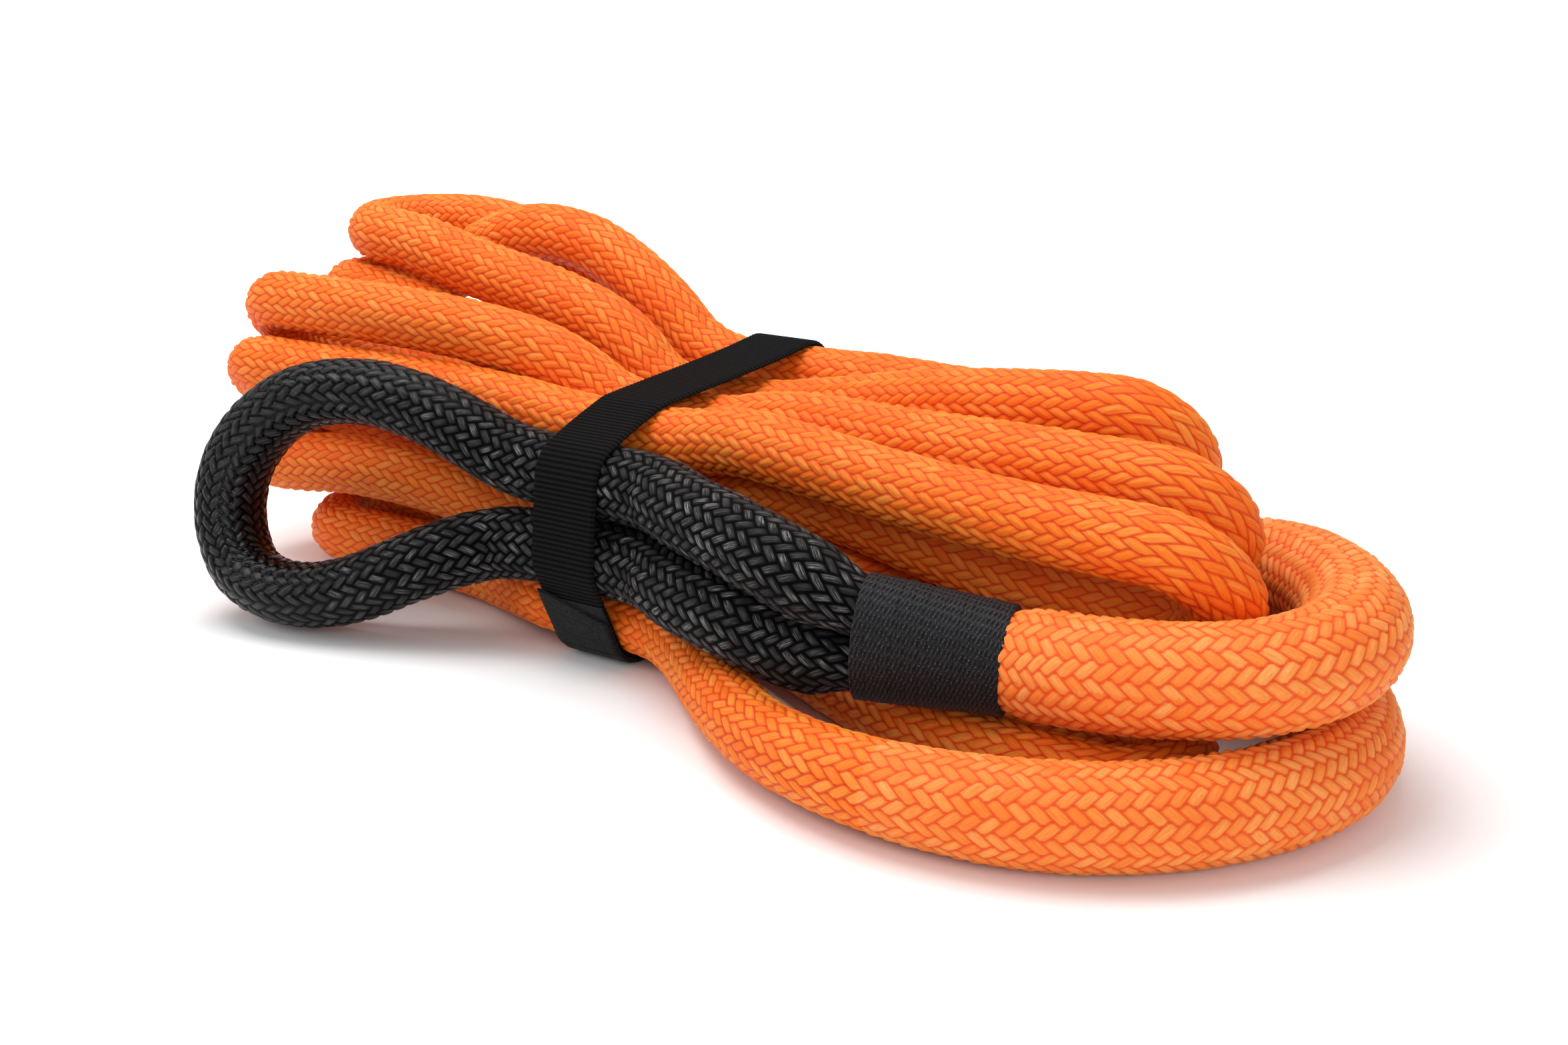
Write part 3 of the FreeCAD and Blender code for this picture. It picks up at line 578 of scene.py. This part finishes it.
def make_rope():
    """One core along the whole route, and the cover in the pieces that the CAD's nodes have."""
    core = nurbs("rope_core", rope_points())
    line = line_of(core)
    length = arc_length(line)
    total = length[-1]

    def radius(place):
        """Swollen along the splices, and drawn in a little where each one enters its whipping."""
        front, rear = splice_shares(place, total)
        swell = (SPLICE_RADII[0] - ROPE_RADIUS) * front + (SPLICE_RADII[1] - ROPE_RADIUS) * rear
        neck = smooth(1 - np.minimum(place, total - place) / NECK)
        return ROPE_RADIUS + swell * (1 - NECK_DEPTH * neck)

    def lay(place):
        front, rear = splice_shares(place, total)
        return ROPE_LAY + (SPLICE_LAY - ROPE_LAY) * (front + rear)

    braid = Braid(line, radius, lay, 3, seed=11)
    # each turn's cover ends at the middle of the strap
    waist_x = WAIST - CENTRE.x
    crossing = np.nonzero(np.diff(np.sign(line[:, 0] - waist_x)))[0]
    cuts = [length[k] for k in crossing]
    splits = [SPLICES[0][0], total - SPLICES[1][0]]
    edges = [None, splits[0]] + cuts + [splits[1], None]
    names = (["front_splice", "rope_start"] + ["rope_" + turn[0] for turn in TURNS]
             + ["rope_finish", "rear_splice"])
    # the first colour of each material is the painted shade in the valleys between strands
    plain = orange_braid("orange_braid", (0.8, 0.055, 0.003, 1), (1.0, 0.14, 0.007, 1),
                         (1.0, 0.225, 0.012, 1), (1.0, 0.38, 0.07, 1))
    stretched = orange_braid("orange_braid_stretched", (0.9, 0.09, 0.01, 1), (1.0, 0.19, 0.02, 1),
                             (1.0, 0.28, 0.045, 1), (1.0, 0.46, 0.14, 1))
    for name, start, finish in zip(names, edges, edges[1:]):
        cover = braid.piece(name + "_braid", start, finish)
        if "splice" in name:
            give(cover, stretched)
        else:
            give(cover, plain)
        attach(cover, "hank")
        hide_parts(name + "_cover")
    core.data.bevel_depth = CORE_RADIUS
    core.data.bevel_resolution = 3
    core.data.resolution_u = 5
    give(core, core_yarn())
    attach(core, "hank")
    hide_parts(*[name + "_core" for name in names])


# ---------------------------------------------------------------- the eyes
def make_eye(end, whipping, top, loop, low, drawn, material):
    """The loop and its two legs as one braid."""
    left, right = Vector(whipping[0]), Vector(whipping[1])
    tall = (Vector(top[0]) - Vector(low[-1])).normalized()
    buried, mouth = tall * 0.0055, tall * 0.008
    inner = left.lerp(right, EYE_IN_WHIPPING)
    points = [inner + buried, left + mouth]
    points += [Vector(p) for p in top + loop + low]
    points += [left - mouth, inner - buried]
    line = read_line(end + "_eye_guide", points)
    length = arc_length(line)
    total = length[-1]
    # the plane of the loop, from the points round its tip
    spots = np.linspace(0.36, 0.64, 60) * total
    middle = np.stack([np.interp(spots, length, line[:, k]) for k in range(3)], axis=1)
    loop_normal = np.linalg.svd(middle - middle.mean(axis=0))[2][2]
    flat = np.array((right - left).normalized().cross(tall).normalized())
    if np.dot(flat, loop_normal) < 0:
        flat = -flat

    tip_reach, throat_start, throat_fade = 0.27 * total, 0.014, 0.022

    def tip_share(place):
        """1 at the tip of the loop, falling to 0 along the legs."""
        return smooth(1 - np.abs(place - total / 2) / tip_reach)

    def oval(place):
        """The section is drawn out across the loop's plane at the tip, and flattened in the throat."""
        share = tip_share(place)
        squeeze = smooth(1 - (np.minimum(place, total - place) - throat_start) / throat_fade)
        axis = unit(loop_normal + (flat - loop_normal) * squeeze[:, None])
        return axis, 1 + drawn * share, 1 - 0.1 * share - 0.4 * squeeze

    steps, seed = (4, 5) if end == "front" else (3, 6)
    braid = Braid(line, lambda place: EYE_RADIUS + 0 * place, lambda place: EYE_LAY + 0 * place,
                  steps, seed, stretch=oval)
    cover = braid.piece(end + "_eye_braid")
    give(cover, material)
    around = STRANDS * braid.steps
    point_values(cover, "wear", np.repeat((1 - tip_share(braid.places))[:, None], around, axis=1))
    names = [end + "_eye_" + part + layer for part in ("loop", "upper_leg", "lower_leg")
             for layer in ("_cover", "_core")]
    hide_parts(*names, end + "_throat")
    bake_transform(cover)


# ---------------------------------------------------------------- the whippings
def make_whipping(end, whipping, top, low, material):
    """Tight turns of twine over the throat, one lofted ridge each."""
    left, right = Vector(whipping[0]) - CENTRE, Vector(whipping[1]) - CENTRE
    axis = (right - left).normalized()
    tall = (Vector(top[0]) - Vector(low[-1])).normalized()
    tall = (tall - axis * tall.dot(axis)).normalized()
    flat = axis.cross(tall)
    per_turn, around = 6, 96
    ridge_height, unevenness, tuck_step = 0.0004, 0.00012, 0.0009
    half_heights = [height + WHIPPING_THICK for height, _ in THROAT_OVALS]
    half_widths = [width + WHIPPING_THICK for _, width in THROAT_OVALS]
    random = np.random.default_rng(31 if end == "front" else 32)
    uneven = random.normal(0, unevenness, WHIPPING_TURNS + 2)
    rows = WHIPPING_TURNS * per_turn
    tuck = 3                    # rows past each end, where the twine goes in under itself
    points, uvs = [], []
    length = (right - left).length
    for row in range(-tuck, rows + tuck + 1):
        t = min(max(row / rows, 0), 1)
        fold = max(-row, row - rows, 0)
        for column in range(around):
            angle = 2 * math.pi * column / around
            turn = t * WHIPPING_TURNS + column / around
            ridge = abs(math.sin(math.pi * turn))
            extra = ridge_height * ridge ** 0.6 + uneven[int(turn)] - tuck_step * fold
            height = half_heights[0] + (half_heights[1] - half_heights[0]) * t + extra
            width = half_widths[0] + (half_widths[1] - half_widths[0]) * t + extra
            spot = (left + axis * (length * t) + tall * (height * math.cos(angle))
                    + flat * (width * math.sin(angle)))
            points.append(spot)
            uvs.append((turn, angle / (2 * math.pi)))
    faces = []
    for row in range(rows + 2 * tuck):
        for column in range(around):
            nxt = (column + 1) % around
            faces.append((row * around + column, row * around + nxt,
                          (row + 1) * around + nxt, (row + 1) * around + column))
    mesh = bpy.data.meshes.new(end + "_whipping_twine")
    mesh.from_pydata([tuple(p) for p in points], [], faces)
    mesh.polygons.foreach_set("use_smooth", np.ones(len(faces), bool))
    layer = mesh.uv_layers.new(name="strand")
    flat_uv = []
    for face in faces:
        wraps = face[0] % around == around - 1
        for index, vertex in enumerate(face):
            u, v = uvs[vertex]
            if wraps and index in (1, 2):
                u, v = u + 1, v + 1
            flat_uv += [u, v]
    layer.data.foreach_set("uv", flat_uv)
    piece = bpy.data.objects.new(mesh.name, mesh)
    bpy.context.scene.collection.objects.link(piece)
    give(piece, material)
    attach(piece, "hank")
    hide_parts(end + "_whipping")


# ---------------------------------------------------------------- the strap
STRAP_WIDTH = 0.0254
WEBBING = 0.0013
PILE = 0.0007
HOOKS = 0.0005
CLEAR = 0.0003                  # between the ropes and the webbing
HAIR = 0.00005                  # between the webbing and the pile patch, so that they don't share a face
RIB_HEIGHT = 0.00042
RIB = 0.0016                    # along the strap, from one rib of its weave to the next
LEG_RADIUS = 0.012              # an eye's leg where the strap presses on it
# What the strap runs round, from the front of the floor side: (y, z) and radius of each rope or leg.
BELT = [(SLOTS["a1"], ROPE_RADIUS), ((0.0108, 0.037), LEG_RADIUS), ((0.0134, 0.0615), LEG_RADIUS),
        (SLOTS["d1"], ROPE_RADIUS), (SLOTS["d4"], ROPE_RADIUS), ((0.1288, 0.0398), LEG_RADIUS),
        ((0.119, 0.0158), LEG_RADIUS)]
# Distances round the strap from the middle of the floor side, towards the front.
PATCH = (0.014, 0.080)
TAIL = (0.020, 0.084)
TAIL_BEND = 0.0608              # where the tail's hinge is, along the tail's inner face


def belt_line(offset, spacing=0.0004):
    """Points (y, z) round the outermost ropes in the strap, from the middle of the floor side."""
    circles = [(Vector(centre), radius + CLEAR + offset) for centre, radius in BELT]
    tangents = []
    for (c1, r1), (c2, r2) in zip(circles, circles[1:] + circles[:1]):
        step = c2 - c1
        heading = math.atan2(step.y, step.x) + math.acos((r1 - r2) / step.length)
        normal = Vector((math.cos(heading), math.sin(heading)))
        tangents.append((c1 + normal * r1, c2 + normal * r2))
    start, finish = tangents[-1]
    middle = (start + finish) / 2
    corners = [middle]
    for k, (leave, arrive) in enumerate(tangents):
        centre, radius = circles[k]
        here = tangents[k - 1][1] - centre
        there = leave - centre
        turn = here.angle_signed(there)
        count = max(int(radius * abs(turn) / spacing), 4)
        first = math.atan2(here.y, here.x)
        angles = [first - turn * i / count for i in range(count + 1)]
        corners += [centre + radius * Vector((math.cos(t), math.sin(t))) for t in angles]
    corners.append(middle)
    points = np.array([tuple(c) for c in corners])
    length = np.concatenate([[0.0], np.cumsum(np.linalg.norm(np.diff(points, axis=0), axis=1))])
    places = np.linspace(0, length[-1], int(length[-1] / spacing))
    return places, np.stack([np.interp(places, length, points[:, k]) for k in (0, 1)], axis=1)


def lean(y, z):
    """How far the strap runs off to the right over the top of the hank and down its back."""
    return 0.0085 * smooth((y - 0.015) / 0.085) * smooth((z - 0.02) / 0.05)


def band(name, inner, thick, start=None, finish=None, rib=0.0, skew=0.0, across=26, rough=0.0, seed=1):
    """A strip of the strap between two distances along it, with ribs across it or a rough face.

    With no start it is the whole ring. A skew draws its far end out to a slant."""
    rib_fade = 0.0012               # the ribs die out this near to the edges
    places, low = belt_line(inner)
    closed = start is None
    if closed:
        keep = np.arange(len(places) - 1)
    else:
        keep = np.nonzero((places >= start) & (places <= finish))[0]
    places, low = places[keep], low[keep]
    ahead = np.roll(low, -1, axis=0) - np.roll(low, 1, axis=0) if closed else np.gradient(low, axis=0)
    ahead = ahead / np.linalg.norm(ahead, axis=1, keepdims=True)
    out = np.stack([-ahead[:, 1], ahead[:, 0]], axis=1)
    random = np.random.default_rng(seed)
    widths = np.linspace(0, 1, across)
    rows = []
    for place, spot, normal, forward in zip(places, low, out, ahead):
        ridge = rib * abs(math.sin(math.pi * place / RIB)) ** 0.6
        for layer in (0, 1):
            for share in (widths if layer == 0 else widths[::-1]):
                edge = min(share, 1 - share) * STRAP_WIDTH
                round_off = 0.35 * thick * max(0, 1 - edge / (0.5 * thick)) ** 2
                height = round_off if layer == 0 else thick - round_off + ridge * min(edge / rib_fade, 1)
                if layer == 1 and rough:
                    height += rough * random.uniform(-1, 1)
                shift = 0.0
                if not closed and skew:
                    reach = (place - places[0]) / (places[-1] - places[0])
                    shift = skew * reach ** 3 * share
                y, z = spot + normal * height - forward * shift
                rows.append((-STRAP_WIDTH * (1 - share) + lean(spot[0], spot[1]), y, z))
    ring = 2 * across
    count = len(places)
    faces = []
    for k in range(count if closed else count - 1):
        nxt = (k + 1) % count
        for j in range(ring):
            i = (j + 1) % ring
            faces.append((k * ring + j, k * ring + i, nxt * ring + i, nxt * ring + j))
    if not closed:
        faces.append(tuple(range(ring)))
        faces.append(tuple((count - 1) * ring + j for j in reversed(range(ring))))
    mesh = bpy.data.meshes.new(name)
    mesh.from_pydata([tuple(Vector(p) - CENTRE) for p in rows], [], faces)
    mesh.validate()
    mesh.polygons.foreach_set("use_smooth", np.ones(len(mesh.polygons), bool))
    layer = mesh.uv_layers.new(name="strand")
    uv = np.empty((len(mesh.loops), 2), np.float32)
    index = np.empty(len(mesh.loops), np.int32)
    mesh.loops.foreach_get("vertex_index", index)
    xs = np.array([r[0] for r in rows])
    uv[:, 0] = xs[index] / STRAP_WIDTH
    uv[:, 1] = places[index // ring] / STRAP_WIDTH
    layer.data.foreach_set("uv", uv.ravel())
    piece = bpy.data.objects.new(name, mesh)
    bpy.context.scene.collection.objects.link(piece)
    return piece


def make_strap():
    """The webbing's ring, the pile sewn on it, and the tail that is sewn at its root and free beyond."""
    web_material, pile_material = webbing(), pile()
    ring = band("strap_band", 0.0, WEBBING, rib=RIB_HEIGHT)
    give(ring, web_material)
    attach(ring, "hank")
    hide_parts("strap_webbing")
    patch = band("strap_patch", WEBBING + HAIR, PILE - 2 * HAIR, *PATCH, rough=HAIR)
    give(patch, pile_material)
    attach(patch, "hank")
    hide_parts("strap_pile_patch")
    root = band("strap_tail_sewn", WEBBING + PILE, HOOKS + PILE - 2 * HAIR, TAIL[0], TAIL_BEND,
                rough=HAIR, seed=2)
    give(root, pile_material)
    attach(root, "hank")
    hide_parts("strap_tail_root")
    tail = band("strap_tail", WEBBING + PILE, HOOKS + PILE, TAIL_BEND, TAIL[1], skew=0.009,
                rough=0.00012, seed=3)
    give(tail, pile_material)
    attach(tail, "strap_tail")
    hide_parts("strap_tail_hooks", "strap_tail_pile")


# ---------------------------------------------------------------- camera, lights and floor
def pale_floor():
    """White, and aglow beyond the hank's own shadows, as a lit studio sweep is."""
    n = Nodes("pale_floor")
    distance = n.add("ShaderNodeVectorMath", {0: n.place()}, operation="LENGTH").outputs["Value"]
    seen = n.add("ShaderNodeLightPath").outputs["Is Camera Ray"]
    glow = n.maths("MULTIPLY", n.range(distance, 0.3, 0.7), seen)
    return n.finish(Base_Color=(0.95, 0.95, 0.95, 1), Roughness=0.7, Specular_IOR_Level=0.1,
                    Emission_Color=(1, 1, 1, 1), Emission_Strength=glow)


def area_light(name, place, target, size, power):
    light = bpy.data.lights.new(name, "AREA")
    light.shape = "RECTANGLE"
    light.size, light.size_y = size
    light.energy = power
    lamp = bpy.data.objects.new(name, light)
    lamp.location = place
    lamp.rotation_euler = (Vector(target) - Vector(place)).to_track_quat("-Z", "Y").to_euler()
    bpy.context.scene.collection.objects.link(lamp)


def make_camera():
    """Looks at the hank from its front right, 35 degrees round and 16.3 degrees up.

    Gives back how far round it stands, for the lights to go with it."""
    turn, pitch, distance = math.radians(35), math.radians(16.3), 0.62
    target = Vector((0.0355, 0.0505, 0.0461)) - CENTRE
    back = Vector((math.sin(turn) * math.cos(pitch), -math.cos(turn) * math.cos(pitch), math.sin(pitch)))
    data = bpy.data.cameras.new("camera")
    data.lens = 44.39
    data.sensor_width = 36
    data.clip_start = 0.01
    camera = bpy.data.objects.new("camera", data)
    camera.location = target + back * distance
    camera.rotation_euler = (-back).to_track_quat("-Z", "Y").to_euler()
    bpy.context.scene.collection.objects.link(camera)
    bpy.context.scene.camera = camera
    return turn


def make_studio(turn):
    """Soft lights placed as the camera sees them, a dim white surround and a pale floor."""
    bpy.context.scene.view_settings.view_transform = "Standard"
    right = Vector((math.cos(turn), math.sin(turn), 0))
    ahead = Vector((-math.sin(turn), math.cos(turn), 0))
    up = Vector((0, 0, 1))
    middle = (0, 0, 0.05)
    area_light("top", up * 1.2 - right * 0.2 + ahead * 0.2, middle, (1.1, 0.8), 13)
    area_light("left", up * 0.8 - right * 1.2 - ahead * 0.2, middle, (0.7, 0.7), 3.6)
    area_light("front", up * 0.6 - ahead * 1.3 + right * 0.4, middle, (0.9, 0.6), 5.5)
    world = bpy.data.worlds.new("studio")
    world.use_nodes = True
    tree = world.node_tree
    backdrop = tree.nodes["Background"]
    backdrop.inputs["Color"].default_value = (1, 1, 1, 1)
    # dimmer as a light than as the backdrop that the camera sees
    seen = tree.nodes.new("ShaderNodeLightPath").outputs["Is Camera Ray"]
    strength = tree.nodes.new("ShaderNodeMapRange")
    strength.inputs["To Min"].default_value = 0.5
    strength.inputs["To Max"].default_value = 1.0
    tree.links.new(seen, strength.inputs["Value"])
    tree.links.new(strength.outputs[0], backdrop.inputs["Strength"])
    bpy.context.scene.world = world
    mesh = bpy.data.meshes.new("floor")
    reach = 6.0
    corners = [(-reach, -reach, 0), (reach, -reach, 0), (reach, reach, 0), (-reach, reach, 0)]
    mesh.from_pydata(corners, [], [(0, 1, 2, 3)])
    floor = bpy.data.objects.new("floor", mesh)
    bpy.context.scene.collection.objects.link(floor)
    floor.data.materials.append(pale_floor())


# ---------------------------------------------------------------- the scene
view_turn = make_camera()
make_studio(view_turn)
make_rope()
black = coated_braid()
# the last number is how much wider than round the braid lies at the tip of the loop
eyes = (("front", FRONT_WHIPPING, FRONT_LEG_TOP, FRONT_LOOP, FRONT_LEG_LOW, 0.2),
        ("rear", REAR_WHIPPING, REAR_LEG_TOP, REAR_LOOP, REAR_LEG_LOW, 0.06))
thread = twine()
for end, whipping, top, loop, low, drawn in eyes:
    make_eye(end, whipping, top, loop, low, drawn, black)
    make_whipping(end, whipping, top, low, thread)
make_strap()
